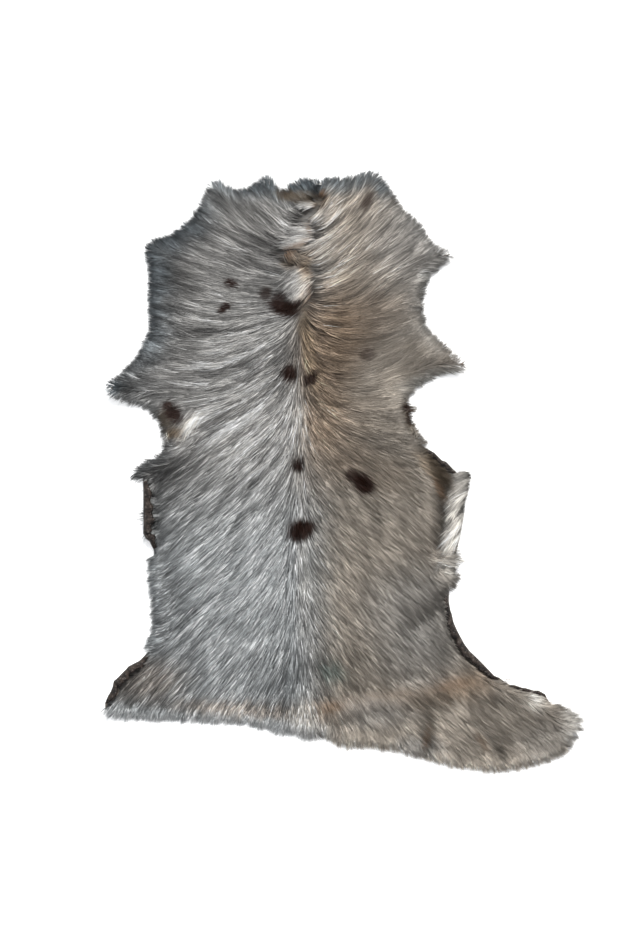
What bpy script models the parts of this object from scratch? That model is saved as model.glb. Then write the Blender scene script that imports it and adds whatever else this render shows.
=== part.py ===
# A whole haired sheepskin, tanned with the hair on and laid flat, hair side up. Run it in Blender 4.5.
#
# The real thing is one skin: a thin tanned hide whose coat lies flat and runs from the backbone
# out to the flanks. So the model is one closed solid. It is as thick as hide and coat together,
# it follows the skin's folds and rolled edges, and it has pointed locks of hair round its rim.
#
# Sizes are in millimetres, seen from above: x to the right, y towards the neck, z up.
# The underside rests on z = 0, and the origin is under the middle of the skin.

import math

import bmesh
import bpy
from mathutils import Vector, noise
from mathutils.geometry import delaunay_2d_cdt

MM = 0.001

# Driving sizes
HIDE_THICK = 2.0          # the tanned skin alone
COAT_THICK = 9.0          # the lying coat on the flanks
SPINE_EXTRA = 4.0         # the deeper coat along the backbone
SPINE_WIDE = 90.0         # half the width of this deeper coat
RIM_THICK = 4.5           # hide and coat at the cut edge
RIM_ROUND = 26.0          # over this width the coat grows from its rim to its full depth
RIM_STEP = 8.6            # distance between points along the rim
NET_STEP = 13.0           # distance between points across the coat
NET_CLEAR = 0.55          # these points keep this share of NET_STEP from the rim
LOCK_REACH = 9.0          # a rim lock's length past the cut edge
LOCK_INSET = 0.8          # the cut edge lies this share of a lock's length inside the outline
LOCK_DROOP = 1.2          # height of a lock's tip over the floor or the lifted edge
TIP_REACH = 30.0          # the inset and the locks shrink over this length towards a pointed tip
TIP_TURN = math.radians(38)     # the outline has a pointed tip where it turns by more than this
SWATH_HEIGHT = 3.4        # unevenness of the combed coat
SWATH_LONG = 62.0         # a swath's length along the hair
SWATH_WIDE = 25.0         # its width across the hair
SPINE_X = -64.0           # the backbone lies left of the middle, because the hind legs are uneven

# The outline that the hair reaches, clockwise from the notch in the neck.
# Each stretch is a smooth line through its points and meets the next one at a corner.
OUTLINE = (
    # stretch,        locks, points (x, y)
    ("nape",          True,  ((-100, 432), (-85, 423), (-69, 440), (-32, 443), (6, 443), (41, 453), (57, 449))),
    ("right_cheek",   True,  ((57, 449), (81, 414), (98, 389), (122, 374), (128, 357), (147, 339), (174, 323))),
    ("right_throat",  True,  ((174, 323), (146, 303), (128, 273), (125, 243), (132, 216), (161, 188), (191, 156))),
    ("right_elbow",   True,  ((191, 156), (155, 143), (116, 125), (102, 105), (107, 78), (128, 44))),
    ("right_pocket",  False, ((128, 44), (158, 21), (192, -8))),
    ("right_flank",   True,  ((192, -8), (188, -50), (179, -90), (173, -117), (185, -147), (170, -170))),
    ("right_stifle",  False, ((170, -170), (170, -204), (180, -237), (206, -275), (251, -311), (303, -324),
                              (322, -342))),
    ("right_hock",    True,  ((322, -342), (362, -370), (353, -399), (335, -425), (288, -443), (237, -453))),
    ("right_rump",    True,  ((237, -453), (176, -447), (116, -432), (63, -419), (-2, -414), (-32, -399))),
    ("tail",          True,  ((-32, -399), (-54, -407), (-71, -396), (-89, -399))),
    ("left_rump",     True,  ((-89, -399), (-132, -384), (-207, -378), (-290, -375), (-345, -369), (-362, -351))),
    ("left_hock",     False, ((-362, -351), (-350, -321), (-338, -299), (-300, -270))),
    ("left_stifle",   True,  ((-300, -270), (-287, -237), (-288, -200), (-293, -155), (-290, -119))),
    ("left_flank",    False, ((-290, -119), (-305, -87), (-305, -42), (-308, -16))),
    ("left_elbow",    True,  ((-308, -16), (-306, 10), (-270, 32), (-273, 63), (-293, 92), (-335, 105),
                              (-354, 125))),
    ("left_throat",   True,  ((-354, 125), (-332, 149), (-308, 176), (-291, 213), (-290, 273), (-293, 321),
                              (-287, 344))),
    ("left_cheek",    True,  ((-287, 344), (-245, 365), (-219, 393), (-204, 422), (-185, 434))),
    ("left_nape",     True,  ((-185, 434), (-161, 425), (-131, 432), (-110, 443), (-100, 432))),
)

# Edges where the skin has dried into a small roll with its bare side outwards.
ROLLED_EDGES = (
    # stretch,       width, height
    ("left_flank",   27.0, 11.0),
    ("right_stifle", 17.0, 6.0),
    ("left_hock",    16.0, 5.0),
    ("right_pocket", 12.0, 5.0),
)

# Soft ridges and troughs across the coat. The skin beneath a ridge is not lifted.
FOLDS = (
    # name,                  x from, y from, x to,  y to, half width, height
    ("backbone",             -64,    262,    -60,   -345, 26, 3.0),
    ("shoulder_ridge_left",  -92,    204,    -262,  142,  17, 5.0),
    ("shoulder_dip_left",    -135,   160,    -282,  118,  13, -4.5),
    ("shoulder_swell_left",  -128,   86,     -162,  30,   32, 4.5),
    ("shoulder_swell_right", 40,     150,    150,   160,  30, 2.5),
    ("shoulder_dip_right",   -20,    200,    20,    120,  26, -2.5),
    ("side_ridge_left",      -150,   -60,    -268,  -190, 15, 3.2),
    ("side_dip_left",        -140,   -110,   -262,  -240, 12, -2.6),
    ("haunch_ridge_left",    -120,   -150,   -225,  -290, 15, 3.0),
    ("haunch_dip_left",      -95,    -300,   -140,  -372, 18, -3.0),
    ("haunch_ridge_right",   160,    -205,   190,   -262, 13, 3.5),
    ("loin_dip_right",       166,    -178,   95,    -226, 15, -4.0),
    ("rump_fold",            -16,    -346,   96,    -324, 14, 7.0),
    ("thigh_fold",           96,     -324,   215,   -312, 17, 7.5),
    ("tail_dip",             -26,    -360,   -6,    -384, 9,  -3.5),
    ("rump_pleat",           122,    -350,   134,   -418, 10, -6.0),
    ("thigh_pleat",          214,    -342,   246,   -428, 11, -6.0),
    ("thigh_swell",          172,    -352,   188,   -430, 17, 3.5),
    ("hock_swell",           290,    -345,   312,   -392, 22, 4.5),
    ("flank_trough_right",   138,    30,     150,   -88,  9,  -6.0),
    ("elbow_pocket_left",    -266,   86,     -262,  70,   10, -5.0),
    ("neck_parting",         -52,    425,    -76,   330,  9,  -3.5),
    ("neck_swirl_high",      -50,    404,    -72,   392,  7,  4.5),
    ("neck_swirl_middle",    -52,    372,    -92,   356,  8,  5.0),
    ("neck_swirl_low",       -78,    344,    -96,   322,  8,  4.5),
    ("nape_dip",             -92,    420,    -60,   415,  12, -3.0),
)

# Places where the dry skin lifts off the floor, as round swells: the height is at the centre.
LIFTS = (
    # name,             x,    y,    radius, height
    ("foreleg_right",   205,  150,  70,     13.0),
    ("foreleg_left",    -366, 122,  78,     14.0),
    ("jaw_right",       186,  326,  48,     9.0),
    ("hock_right",      372,  -372, 82,     12.0),
    ("hock_left",       -374, -352, 74,     10.0),
    ("nape_right",      62,   462,  60,     8.0),
    ("nape_left",       -196, 446,  58,     8.0),
    ("flank_lip_right", 200,  -30,  52,     15.0),
    ("flank_lip_rear",  192,  -86,  46,     11.0),
)

# Direction of the hair in degrees above the outward side, from neck to rump, on each side.
HAIR_RUN = (
    # y,    left, right
    (440,   58,   56),
    (370,   45,   45),
    (300,   14,   33),
    (230,   -8,   14),
    (160,   -18,  -8),
    (90,    -30,  -24),
    (0,     -38,  -38),
    (-120,  -43,  -45),
    (-260,  -47,  -48),
    (-400,  -55,  -52),
)

# The silver-grey hair, and the dry, darker bare side of the skin.
HAIR_COLOUR = (0.37, 0.34, 0.30, 1.0)
HIDE_COLOUR = (0.16, 0.13, 0.11, 1.0)


def clear_scene():
    for thing in list(bpy.data.objects):
        bpy.data.objects.remove(thing)


def smooth_line(points, step):
    """Points about one step apart on a Catmull-Rom curve through the given ones, without the last."""
    ends = [2 * points[0] - points[1], *points, 2 * points[-1] - points[-2]]
    fine = []
    for before, start, stop, after in zip(ends, ends[1:], ends[2:], ends[3:]):
        for k in range(8):
            t = k / 8
            fine.append(0.5 * (2 * start + (stop - before) * t
                               + (2 * before - 5 * start + 4 * stop - after) * t ** 2
                               + (3 * start - before - 3 * stop + after) * t ** 3))
    fine.append(points[-1].copy())
    lengths = [0.0]
    for a, b in zip(fine, fine[1:]):
        lengths.append(lengths[-1] + (b - a).length)
    count = 2 * max(1, round(lengths[-1] / step / 2))
    line = []
    k = 0
    for i in range(count):
        wanted = lengths[-1] * i / count
        while lengths[k + 1] < wanted:
            k += 1
        share = (wanted - lengths[k]) / (lengths[k + 1] - lengths[k])
        line.append(fine[k].lerp(fine[k + 1], share))
    return line


def distance_to_segment(p, a, b):
    along = b - a
    share = max(0.0, min(1.0, (p - a).dot(along) / along.length_squared))
    return (p - (a + along * share)).length


def hair_direction(p):
    """The way the hair points at p, as a unit vector: away from the backbone and along the flow."""
    rows = sorted(HAIR_RUN)
    y = max(rows[0][0], min(rows[-1][0], p.y))
    side = 1 if p.x < SPINE_X else 2
    for low, high in zip(rows, rows[1:]):
        if y <= high[0]:
            share = (y - low[0]) / (high[0] - low[0])
            angle = math.radians(low[side] + (high[side] - low[side]) * share)
            break
    outward = -1.0 if p.x < SPINE_X else 1.0
    return Vector((outward * math.cos(angle), math.sin(angle)))


class Rim:
    """The slab's edge: points with their outward directions, and what each stretch carries."""

    def __init__(self):
        reach, self.stretch, self.locks = [], [], []
        for name, locks, points in OUTLINE:
            line = smooth_line([Vector(p) for p in points], RIM_STEP)
            reach += line
            self.stretch += [name] * len(line)
            self.locks += [locks] * len(line)
        self.outward = []
        for i, here in enumerate(reach):
            along = reach[(i + 1) % len(reach)] - reach[i - 1]
            self.outward.append(Vector((-along.y, along.x)).normalized())
        self.fullness = self.away_from_tips(reach)
        inset = [LOCK_REACH * LOCK_INSET if locks else 0.0 for locks in self.locks]
        for _ in range(3):
            inset = [(inset[i - 1] + inset[i] + inset[(i + 1) % len(inset)]) / 3 for i in range(len(inset))]
        inset = [d * share for d, share in zip(inset, self.fullness)]
        self.points = [p - n * d for p, n, d in zip(reach, self.outward, inset)]

    @staticmethod
    def away_from_tips(reach):
        """For each point, 0 at a pointed tip of the outline and 1 from TIP_REACH away."""
        count = len(reach)
        tips = []
        for i, here in enumerate(reach):
            turn = (here - reach[i - 1]).angle_signed(reach[(i + 1) % count] - here)
            if turn > TIP_TURN:
                tips.append(i)
        shares = []
        for i in range(count):
            steps = min(min(abs(i - tip), count - abs(i - tip)) for tip in tips)
            shares.append(min(1.0, steps * RIM_STEP / TIP_REACH))
        return shares

    def distance(self, p):
        """Distance from p to the rim, and the number of the rim's nearest stretch between points."""
        found = [(distance_to_segment(p, a, b), i)
                 for i, (a, b) in enumerate(zip(self.points, self.points[1:] + self.points[:1]))]
        return min(found)


def net_inside(rim):
    """Points of an even triangular net that lie inside the rim, with their distance to it."""
    edge = rim.points
    low = Vector((min(p.x for p in edge), min(p.y for p in edge)))
    high = Vector((max(p.x for p in edge), max(p.y for p in edge)))
    row_step = NET_STEP * math.sqrt(3) / 2
    net = []
    for row in range(int((high.y - low.y) / row_step) + 1):
        y = low.y + row * row_step
        crossings = sorted(a.x + (b.x - a.x) * (y - a.y) / (b.y - a.y)
                           for a, b in zip(edge, edge[1:] + edge[:1]) if (a.y > y) != (b.y > y))
        x = low.x + (row % 2) * NET_STEP / 2
        while x < high.x:
            if sum(c < x for c in crossings) % 2:
                p = Vector((x, y))
                away, nearest = rim.distance(p)
                if away > NET_STEP * NET_CLEAR:
                    net.append((p, away, nearest))
            x += NET_STEP
    return net


def lift(p):
    """Height of the hide's underside over the floor."""
    height = 0.0
    for _, x, y, radius, top in LIFTS:
        share = 1 - (p - Vector((x, y))).length / radius
        if share > 0:
            height = max(height, top * share * share * (3 - 2 * share))
    return height


def folds(p):
    """Ridges and troughs of the coat at p."""
    height = 0.0
    for _, x1, y1, x2, y2, half_width, top in FOLDS:
        away = distance_to_segment(p, Vector((x1, y1)), Vector((x2, y2)))
        height += top * math.exp(-(away / half_width) ** 2)
    return height


def swaths(p):
    """Unevenness of the combed coat, drawn out along the hair."""
    run = hair_direction(p)
    along = p.dot(run) / SWATH_LONG
    across = (p.x * run.y - p.y * run.x) / SWATH_WIDE
    return SWATH_HEIGHT * noise.noise(Vector((along, across, 3.7)))


def rolled_edge(away, stretch):
    """Height of the rolled edge at this distance from the rim, or 0 where the edge lies flat."""
    for name, width, height in ROLLED_EDGES:
        if name == stretch and away < width:
            return height * math.sin(math.pi * (0.12 + 0.88 * away / width)) ** 0.7
    return 0.0


def coat_top(p, away, stretch):
    """Height of the coat's surface over the floor."""
    near_rim = min(1.0, away / RIM_ROUND)
    full = HIDE_THICK + COAT_THICK + SPINE_EXTRA * math.exp(-((p.x - SPINE_X) / SPINE_WIDE) ** 2)
    grown = math.sqrt(near_rim * (2 - near_rim))
    coat = RIM_THICK + (full - RIM_THICK) * grown + (folds(p) + swaths(p)) * near_rim
    roll = rolled_edge(away, stretch)
    return lift(p) + max(coat, roll, RIM_THICK * 0.8)


def skin_mesh(rim):
    """The closed slab: coat on top, hide below, with a wall round the rim between them."""
    bm = bmesh.new()
    count = len(rim.points)
    ring = [(i, (i + 1) % count) for i in range(count)]
    net = net_inside(rim)

    top_points = list(rim.points) + [p for p, _, _ in net]
    heights = [lift(p) + RIM_THICK for p in rim.points]
    heights += [coat_top(p, away, rim.stretch[nearest]) for p, away, nearest in net]
    flat, _, triangles, _, _, _ = delaunay_2d_cdt(top_points, ring, [], 1, 1e-4)
    top = [bm.verts.new((p.x, p.y, z)) for p, z in zip(flat, heights)]
    for corners in triangles:
        bm.faces.new([top[k] for k in corners])

    raised = [p for p, _, _ in net if lift(p) > 0]
    border = [p for p, _, _ in net
              if any((p - q).length < NET_STEP * 1.6 for q in raised)]
    under_points = list(rim.points) + border
    flat, _, triangles, _, _, _ = delaunay_2d_cdt(under_points, ring, [], 1, 1e-4)
    under = [bm.verts.new((p.x, p.y, lift(p))) for p in flat]
    for corners in triangles:
        bm.faces.new([under[k] for k in reversed(corners)])

    walls = []
    for i, k in ring:
        walls.append(bm.faces.new((top[i], top[k], under[k], under[i])))
    bmesh.ops.recalc_face_normals(bm, faces=bm.faces)
    return bm, walls


def grow_locks(bm, walls, rim):
    """Draws every second wall face out into a pointed lock that lies along the hair."""
    for i, wall in enumerate(walls):
        if i % 2 or not rim.locks[i]:
            continue
        middle = wall.calc_center_median()
        here = Vector((middle.x, middle.y))
        uneven = noise.noise(Vector((here.x / 7, here.y / 7, 8.1)))
        out = (rim.outward[i] + hair_direction(here) * (0.8 + uneven)).normalized()
        length = LOCK_REACH * (0.95 + 0.7 * uneven) * (0.4 + 0.6 * rim.fullness[i])
        grown = bmesh.ops.extrude_discrete_faces(bm, faces=[wall])["faces"][0]
        tip = Vector((here.x + out.x * length, here.y + out.y * length, lift(here) + LOCK_DROOP))
        bmesh.ops.pointmerge(bm, verts=grown.verts, merge_co=tip)


def settle(bm):
    """Puts the underside on the floor and the middle of the skin on the origin, in metres."""
    low = Vector([min(v.co[k] for v in bm.verts) for k in range(3)])
    high = Vector([max(v.co[k] for v in bm.verts) for k in range(3)])
    shift = Vector((-(low.x + high.x) / 2, -(low.y + high.y) / 2, -low.z))
    bmesh.ops.translate(bm, verts=bm.verts, vec=shift)
    bmesh.ops.scale(bm, verts=bm.verts, vec=(MM, MM, MM))


def finish_of(name, colour, roughness):
    material = bpy.data.materials.new(name)
    material.use_nodes = True
    shader = material.node_tree.nodes["Principled BSDF"]
    shader.inputs["Base Color"].default_value = colour
    shader.inputs["Roughness"].default_value = roughness
    shader.inputs["Metallic"].default_value = 0.0
    return material


def make_sheepskin():
    clear_scene()
    rim = Rim()
    bm, walls = skin_mesh(rim)
    grow_locks(bm, walls, rim)
    settle(bm)
    mesh = bpy.data.meshes.new("sheepskin")
    bm.to_mesh(mesh)
    bm.free()
    mesh.materials.append(finish_of("hair", HAIR_COLOUR, 0.62))
    mesh.materials.append(finish_of("bare_hide", HIDE_COLOUR, 0.85))
    for face in mesh.polygons:
        face.material_index = 1 if face.normal.z < -0.5 else 0
    mesh.shade_smooth()
    mesh.set_sharp_from_angle(angle=math.radians(50))
    skin = bpy.data.objects.new("sheepskin", mesh)
    bpy.context.scene.collection.objects.link(skin)


make_sheepskin()
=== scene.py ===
import math

import bmesh
import bpy
import numpy as np
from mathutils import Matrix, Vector
from mathutils.bvhtree import BVHTree


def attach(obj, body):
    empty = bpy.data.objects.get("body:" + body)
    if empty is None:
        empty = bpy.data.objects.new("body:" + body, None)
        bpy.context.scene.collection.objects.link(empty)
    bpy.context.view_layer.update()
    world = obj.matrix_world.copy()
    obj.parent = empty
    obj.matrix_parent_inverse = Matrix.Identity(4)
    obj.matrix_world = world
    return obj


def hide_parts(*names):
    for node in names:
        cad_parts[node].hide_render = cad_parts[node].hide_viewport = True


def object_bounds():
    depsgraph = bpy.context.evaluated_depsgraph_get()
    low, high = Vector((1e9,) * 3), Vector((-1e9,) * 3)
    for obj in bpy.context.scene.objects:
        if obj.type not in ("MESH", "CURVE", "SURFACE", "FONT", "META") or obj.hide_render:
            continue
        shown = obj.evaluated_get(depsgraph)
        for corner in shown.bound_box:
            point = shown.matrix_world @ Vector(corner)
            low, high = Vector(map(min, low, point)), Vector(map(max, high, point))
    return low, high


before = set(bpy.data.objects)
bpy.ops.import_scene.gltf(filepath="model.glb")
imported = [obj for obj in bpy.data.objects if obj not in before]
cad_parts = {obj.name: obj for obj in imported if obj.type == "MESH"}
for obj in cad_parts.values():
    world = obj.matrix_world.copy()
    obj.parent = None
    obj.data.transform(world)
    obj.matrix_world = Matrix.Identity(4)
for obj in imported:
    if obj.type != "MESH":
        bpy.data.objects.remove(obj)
cad_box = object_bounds()

MM = 0.001


# The view and the light. The skin lies on a pale floor, seen from straight above. A large soft lamp
# shines from beyond the neck, a little from the right, and a weaker one fills in from the left.
PHOTO_WIDE, PHOTO_HIGH = 621, 931
PIXEL = 1.5 * MM                    # real size of one pixel of the photograph
SKIN_MIDDLE = (343, 472)            # pixel under which the skin's origin lies
CAMERA_HEIGHT = 2.4


def add_object(name, data):
    thing = bpy.data.objects.new(name, data)
    bpy.context.scene.collection.objects.link(thing)
    return thing


def make_view():
    centre_x = (PHOTO_WIDE / 2 - SKIN_MIDDLE[0]) * PIXEL
    centre_y = (SKIN_MIDDLE[1] - PHOTO_HIGH / 2) * PIXEL
    camera = add_object("camera", bpy.data.cameras.new("camera"))
    camera.location = (centre_x, centre_y, CAMERA_HEIGHT)
    camera.data.sensor_width = 36.0
    camera.data.lens = 36.0 * CAMERA_HEIGHT / (PHOTO_HIGH * PIXEL)
    bpy.context.scene.camera = camera
    bpy.context.scene.view_settings.view_transform = "Standard"


def make_lamp(name, direction, softness, strength, colour):
    """A large soft lamp, so far away that it lights the whole skin evenly."""
    lamp = add_object(name, bpy.data.lights.new(name, "SUN"))
    lamp.rotation_euler = Vector(direction).to_track_quat("Z", "Y").to_euler()
    lamp.data.angle = math.radians(softness)
    lamp.data.energy = strength
    lamp.data.color = colour


def make_floor():
    bm = bmesh.new()
    bmesh.ops.create_grid(bm, x_segments=1, y_segments=1, size=4.0)
    mesh = bpy.data.meshes.new("floor")
    bm.to_mesh(mesh)
    bm.free()
    floor = add_object("floor", mesh)
    floor.location.z = -0.4 * MM
    paint = bpy.data.materials.new("floor_paint")
    paint.use_nodes = True
    shader = paint.node_tree.nodes["Principled BSDF"]
    shader.inputs["Base Color"].default_value = (0.95, 0.95, 0.95, 1)
    shader.inputs["Roughness"].default_value = 0.9
    mesh.materials.append(paint)


make_view()
make_floor()
make_lamp("key_lamp", (0.45, 1.25, 1.1), 22, 5.4, (1.0, 0.99, 0.97))
make_lamp("fill_lamp", (-1.3, -0.1, 1.3), 40, 1.5, (0.96, 0.98, 1.0))
world = bpy.data.worlds.new("studio")
bpy.context.scene.world = world
world.use_nodes = True
world.node_tree.nodes["Background"].inputs["Color"].default_value = (0.98, 0.99, 1.0, 1)
world.node_tree.nodes["Background"].inputs["Strength"].default_value = 0.8


# The skin's form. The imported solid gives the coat's surface, the hide's underside and the rim.
# They are read once here, as two height maps, and each piece below is laid on them.
MAP_STEP = 4 * MM
COAT_DROP = 1.3 * MM                # the coat's height falls by this in each map step past the rim
MAP_MARGIN = Vector((40 * MM, 40 * MM, 0))
map_corners = (cad_box[0] - MAP_MARGIN, cad_box[1] + MAP_MARGIN)


def packed_copy():
    bm = bmesh.new()
    bm.from_mesh(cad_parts["sheepskin"].data)
    bmesh.ops.remove_doubles(bm, verts=bm.verts, dist=1e-6)
    return bm


class HeightMap:
    """Heights on an even grid over the skin, read smoothly between its points."""

    def __init__(self, low, high, step):
        self.low, self.step = low, step
        self.wide = int((high[0] - low[0]) / step) + 2
        self.deep = int((high[1] - low[1]) / step) + 2
        self.values = np.full((self.deep, self.wide), np.nan)

    def read(self, x, y):
        u = np.clip((x - self.low[0]) / self.step, 0, self.wide - 1.001)
        v = np.clip((y - self.low[1]) / self.step, 0, self.deep - 1.001)
        i, j = u.astype(int), v.astype(int)
        s, t = u - i, v - j
        z = self.values
        below = z[j, i] * (1 - s) + z[j, i + 1] * s
        above = z[j + 1, i] * (1 - s) + z[j + 1, i + 1] * s
        return below * (1 - t) + above * t

    def around(self, padded):
        """Each point's own height and those of the eight round it."""
        return np.stack([padded[a:a + self.deep, b:b + self.wide] for a in range(3) for b in range(3)])

    def spread(self, drop):
        """Fills the empty points outwards from the skin, lower by drop at each step."""
        z = self.values
        while np.isnan(z).any():
            near = self.around(np.pad(z, 1, constant_values=np.nan))
            found = ~np.isnan(near)
            count = found.sum(axis=0)
            mean = np.where(found, near, 0).sum(axis=0) / np.maximum(count, 1)
            fill = np.isnan(z) & (count > 0)
            z[fill] = mean[fill] - drop

    def soften(self, rounds):
        """Evens out what is smaller than a lock of hair."""
        for _ in range(rounds):
            self.values = self.around(np.pad(self.values, 1, mode="edge")).mean(axis=0)


def read_skin():
    """The coat's top, the hide's underside, and 1 on the skin and 0 off it, as height maps."""
    bm = packed_copy()
    tree = BVHTree.FromBMesh(bm)
    bm.free()
    low, high = map_corners
    top, under, inside = (HeightMap(low, high, MAP_STEP) for _ in range(3))
    inside.values[:] = 0
    for j in range(top.deep):
        for i in range(top.wide):
            x, y = low.x + i * MAP_STEP, low.y + j * MAP_STEP
            hit = tree.ray_cast(Vector((x, y, 1)), Vector((0, 0, -1)))[0]
            if hit:
                top.values[j, i] = hit.z
                under.values[j, i] = tree.ray_cast(Vector((x, y, -1)), Vector((0, 0, 1)))[0].z
                inside.values[j, i] = 1
    top.spread(COAT_DROP)
    top.soften(2)
    under.spread(0.3 * MM)
    return top, under, inside


coat_top, hide_under, on_skin = read_skin()


def rim_distance():
    """How far each place is inside the skin's outline, or less than 0 outside it."""
    away = HeightMap(*map_corners, MAP_STEP)
    skin = on_skin.values > 0.5
    shifted = [np.roll(skin, step, axis) for step in (-1, 1) for axis in (0, 1)]
    edge_rows, edge_columns = np.nonzero(skin & ~np.logical_and.reduce(shifted))
    columns = np.arange(away.wide)
    for row in range(away.deep):
        squares = (edge_columns[None, :] - columns[:, None]) ** 2 + (edge_rows - row)[None, :] ** 2
        away.values[row] = np.sqrt(squares.min(axis=1)) * MAP_STEP
    away.values = np.where(skin, away.values, -away.values)
    return away


inside_by = rim_distance()


def outward_from_rim(x, y):
    step = 3 * MM
    slope_x = inside_by.read(x + step, y) - inside_by.read(x - step, y)
    slope_y = inside_by.read(x, y + step) - inside_by.read(x, y - step)
    size = np.hypot(slope_x, slope_y) + 1e-9
    return -slope_x / size, -slope_y / size


# Shader sums, for the materials of every piece. A Value is a number that a material works out as
# it shades, and Python's own operators add its Math nodes.
class Value:
    def __init__(self, finish, socket):
        self.finish, self.socket = finish, socket

    def maths(self, operation, *values):
        return self.finish.node("ShaderNodeMath", {"operation": operation}, dict(enumerate(values)))

    def __add__(self, other):
        return self.maths("ADD", self, other)

    def __mul__(self, other):
        return self.maths("MULTIPLY", self, other)

    def between(self, low, high, start=0.0, stop=1.0):
        """Goes smoothly from start to stop as this goes from low to high."""
        return self.finish.node("ShaderNodeMapRange", {"interpolation_type": "SMOOTHSTEP"},
                                {"Value": self, "From Min": low, "From Max": high,
                                 "To Min": start, "To Max": stop})

    __radd__, __rmul__ = __add__, __mul__


class Finish:
    """A material under construction."""

    def __init__(self, name, roughness):
        self.material = bpy.data.materials.new(name)
        self.material.use_nodes = True
        self.tree = self.material.node_tree
        self.shader = self.tree.nodes["Principled BSDF"]
        self.shader.inputs["Roughness"].default_value = roughness

    def node(self, kind, settings, inputs, output=0):
        made = self.tree.nodes.new(kind)
        for name, setting in settings.items():
            setattr(made, name, setting)
        for name, given in inputs.items():
            if isinstance(given, Value):
                self.tree.links.new(given.socket, made.inputs[name])
            else:
                made.inputs[name].default_value = given
        return Value(self, made.outputs[output])

    def mix(self, share, first, second):
        return self.node("ShaderNodeMix", {"data_type": "RGBA"}, {0: share, 6: first, 7: second}, 2)

    def shaded(self, colour, amount):
        """The colour times a number."""
        return self.node("ShaderNodeVectorMath", {"operation": "SCALE"}, {0: colour, "Scale": amount})

    def attribute(self, name, output="Fac"):
        return self.node("ShaderNodeAttribute", {"attribute_name": name}, {}, output)

    def place(self):
        return self.node("ShaderNodeTexCoord", {}, {}, "Object")

    def noise(self, place, scale, detail=2.0, stretch=(1, 1, 1), turn=0.0):
        turned = self.node("ShaderNodeMapping", {},
                           {"Vector": place, "Rotation": (0, 0, turn), "Scale": stretch})
        return self.node("ShaderNodeTexNoise", {}, {"Vector": turned, "Scale": scale, "Detail": detail})

    def blob(self, place, centre_x, centre_y, long, wide, turn, soft):
        """1 inside a turned ellipse, and 0 past its soft edge. Its sizes are in millimetres."""
        moved = self.node("ShaderNodeMapping", {"vector_type": "TEXTURE"},
                          {"Vector": place,
                           "Location": (centre_x * MM, centre_y * MM, 0),
                           "Rotation": (0, 0, math.radians(turn)),
                           "Scale": (long * MM, wide * MM, 1e3)})
        away = self.node("ShaderNodeVectorMath", {"operation": "LENGTH"}, {0: moved}, "Value")
        return away.between(1 + soft, 1 - soft)

    def paint(self, **sockets):
        for name, given in sockets.items():
            self.tree.links.new(given.socket, self.shader.inputs[name.replace("_", " ")])


# The coat's colours. The left side is silver-grey and the right side warm taupe, with a tan streak
# down the backbone, dark brown spots, and paler belly hair. Painted sheen and shade lie over them:
# brighter and darker bands, slate shade along the rims, and painted light on the rim at the rear.
# Each hair takes the colour of the places that it lies over.
SILVER = np.array((0.362, 0.352, 0.338))
COOL_SILVER = np.array((0.340, 0.354, 0.358))    # towards the rump
TAUPE = np.array((0.365, 0.322, 0.275))
OCHRE = np.array((0.40, 0.300, 0.200))
UMBER = np.array((0.300, 0.220, 0.155))
RUST = (0.170, 0.105, 0.062, 1)
PALE = np.array((0.56, 0.53, 0.485))
# painted shade along the rims, slate blue
PAINTED_SLATE_SHADE = np.array((0.056, 0.070, 0.080))
# olive brown, partly painted shade in troughs and pockets
OLIVE_AND_SHADE = (0.085, 0.066, 0.046, 1)
SPOT_BROWN = (0.018, 0.006, 0.003, 1)
STAIN = np.array((0.11, 0.19, 0.175))
PATCH_SOFT, BAND_SOFT = 0.6, 0.7        # how softly a patch and a band fade out, by share of their size
SPINE_X = -64 * MM
COOL_FROM = (60 * MM, -140 * MM)        # between these heights the silver cools towards the rump
RUMP_FROM = (-280 * MM, -340 * MM)      # past these heights the rim that faces the rear gets painted light
STAIN_PATCH = (-18, -298, 18, 12, 10)   # x, y, long, wide and turn, in mm and degrees
LEFT_SHADE_MARGIN = (-300, 300, 150, 170)     # where painted slate shade darkens the hair over a wide margin
NAPE_SHADE_MARGIN = (-40, 440, 220, 40)
FORELEG_TIP_SHADE = (-350, 126, 26, 14, 10)
UMBER_PATCHES = (
    # x, y, long, wide, turn, strength
    (-20, 195, 80, 46, 78, 0.9),     (30, 222, 60, 30, 20, 0.5),
    (-30, 90, 60, 30, 80, 0.75),     (-14, 40, 70, 40, 60, 0.4),
    (40, 5, 60, 30, -20, 0.3),       (-10, -352, 60, 16, 8, 0.75),
    (90, -335, 60, 14, 6, 0.5),      (172, -318, 52, 20, 10, 0.8),
    (-300, -310, 60, 30, 0, 0.45),   (-150, -355, 110, 12, -4, 0.5),
)
RUST_PATCHES = (
    # x, y, long, wide, turn, strength
    (-18, -352, 16, 9, 8, 0.6),      (166, -316, 26, 8, 12, 0.45),
    (-34, 408, 13, 6, 70, 0.85),     (-48, 386, 15, 5, 50, 0.8),
    (-52, 366, 10, 4, 110, 0.7),     (-70, 336, 26, 5, 30, 0.55),
    (-84, 322, 8, 12, 0, 0.6),       (-56, 300, 16, 4, 145, 0.5),
    (-50, 262, 5, 22, 0, 0.55),      (144, -24, 20, 6, 112, 0.85),
    (208, -404, 16, 5, -55, 0.5),    (126, -396, 20, 5, 80, 0.5),
)
OCHRE_PATCHES = (
    # x, y, long, wide, turn, strength
    (-54, 200, 58, 9, 96, 0.8),      (-66, 318, 20, 14, 10, 0.6),
    (-56, 300, 18, 8, 90, 0.5),      (-30, 410, 22, 8, 60, 0.4),
    (-46, 140, 20, 12, 90, 0.5),     (-253, 60, 13, 8, 25, 0.95),
    (128, 10, 24, 10, -50, 0.6),
)
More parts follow.
